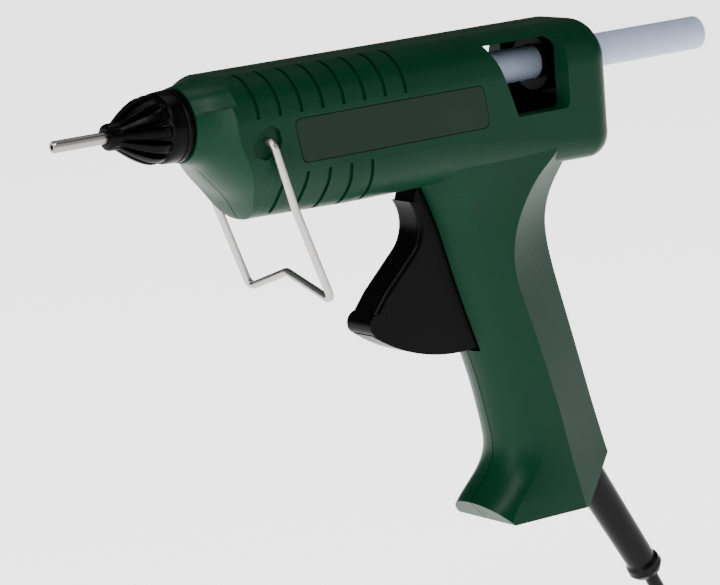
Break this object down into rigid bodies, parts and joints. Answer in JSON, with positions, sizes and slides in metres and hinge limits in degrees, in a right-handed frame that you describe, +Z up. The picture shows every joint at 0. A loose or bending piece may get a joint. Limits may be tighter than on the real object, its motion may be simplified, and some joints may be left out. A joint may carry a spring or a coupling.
{
  "type": "hot glue gun",
  "caption": "Pistol-shaped hot-melt glue gun with a fluted black nozzle collar, sector trigger, folding wire stand, side window over the stick, and a mains cord leaving the foot of the grip.",
  "frame": {"origin": "middle of the hand grip, on the middle plane between the two shells: where the hand holds the gun", "axes": "+X from the nozzle towards the rear along the barrel; +Y from the left shell to the right shell; +Z up, square to the barrel"},
  "size_m": [0.3591, 0.0639, 0.2634],
  "materials": {
    "housing_green": "fine matte moulded texture, dark green",
    "black_plastic": "satin black moulded plastic",
    "black_rubber": "soft black PVC with a low sheen",
    "nozzle_steel": "drawn steel tube",
    "stand_wire": "plated wire, satin",
    "zinc_steel": "zinc-plated steel",
    "spring_steel": "spring wire",
    "cast_aluminium": "as cast",
    "silicone": "red-brown silicone, matte",
    "ceramic": "sintered ceramic, dark grey",
    "ceramic_white": "off-white heat-resistant moulding",
    "brass_strip": "brass strip",
    "fuse_tan": "thermal fuse case",
    "carriage_plastic": "black glass-filled moulding",
    "glue": "translucent grey-blue hot-melt stick",
    "badge": "blank dark plate",
    "brown_wire": "brown insulation",
    "blue_wire": "blue insulation",
    "glass_sleeve": "woven glass sleeving",
    "tie_black": "hook-and-loop strap"
  },
  "bodies": {
    "housing": {"left_housing": "housing_green", "right_housing": "housing_green", "housing_screws": "zinc_steel", "nozzle_tube": "nozzle_steel", "nozzle_collar": "black_plastic", "nozzle_seal": "silicone", "melt_chamber": "cast_aluminium", "ptc_heater": "ceramic", "heater_electrodes": "brass_strip", "thermal_fuse": "fuse_tan", "chamber_cradles": "ceramic_white", "inlet_sleeve": "silicone", "sleeve_clamp": "zinc_steel", "check_ball": "zinc_steel", "check_spring": "spring_steel", "return_spring": "spring_steel", "trigger_pin": "zinc_steel", "rear_guide": "black_plastic", "left_badge": "badge", "right_badge": "badge", "cord_relief": "black_rubber", "cord_tail": "black_rubber", "cord_clamp": "carriage_plastic", "clamp_screws": "zinc_steel", "terminal_block": "ceramic_white", "live_lead": "brown_wire", "neutral_lead": "blue_wire", "heater_lead_left": "glass_sleeve", "heater_lead_right": "glass_sleeve", "cord": "black_rubber", "cord_coil": "black_rubber", "cord_tie": "tie_black", "plug_lead": "black_rubber", "plug_body": "black_plastic", "plug_pins": "brass_strip"},
    "trigger": {"trigger": "black_plastic"},
    "carriage": {"feed_carriage": "carriage_plastic", "clamp_pin": "zinc_steel"},
    "clamp": {"stick_clamp": "brass_strip"},
    "stick": {"glue_stick": "glue"},
    "stand": {"wire_stand": "stand_wire"}
  },
  "joints": [
    {"name": "trigger_squeeze", "type": "hinge", "parent": "housing", "child": "trigger", "pos_m": [-0.026, 0, 0.068], "axis": [0, -1, 0], "range_deg": [0, 15], "stiffness_Nm_per_rad": 0.6, "springref_deg": -20.05},
    {"name": "carriage_slide", "type": "slide", "parent": "housing", "child": "carriage", "axis": [-1, 0, 0], "range_m": [0, 0.0072], "deforming": ["return_spring"]},
    {"name": "clamp_bite", "type": "hinge", "parent": "carriage", "child": "clamp", "pos_m": [-0.0294, 0, 0.0874], "axis": [0, 1, 0], "range_deg": [0, 2.6]},
    {"name": "stick_feed", "type": "slide", "parent": "housing", "child": "stick", "axis": [-1, 0, 0], "range_m": [0, 0.0072]},
    {"name": "stand_swing", "type": "hinge", "parent": "housing", "child": "stand", "pos_m": [-0.1057, 0, 0.0883], "axis": [0, 1, 0], "range_deg": [-30, 100]}
  ],
  "couplings": [
    {"joint": "carriage_slide", "follows": "trigger_squeeze", "m_per_rad": 0.027},
    {"joint": "stick_feed", "follows": "trigger_squeeze", "m_per_rad": 0.027},
    {"joint": "clamp_bite", "follows": "trigger_squeeze", "ratio": 0.1667}
  ]
}
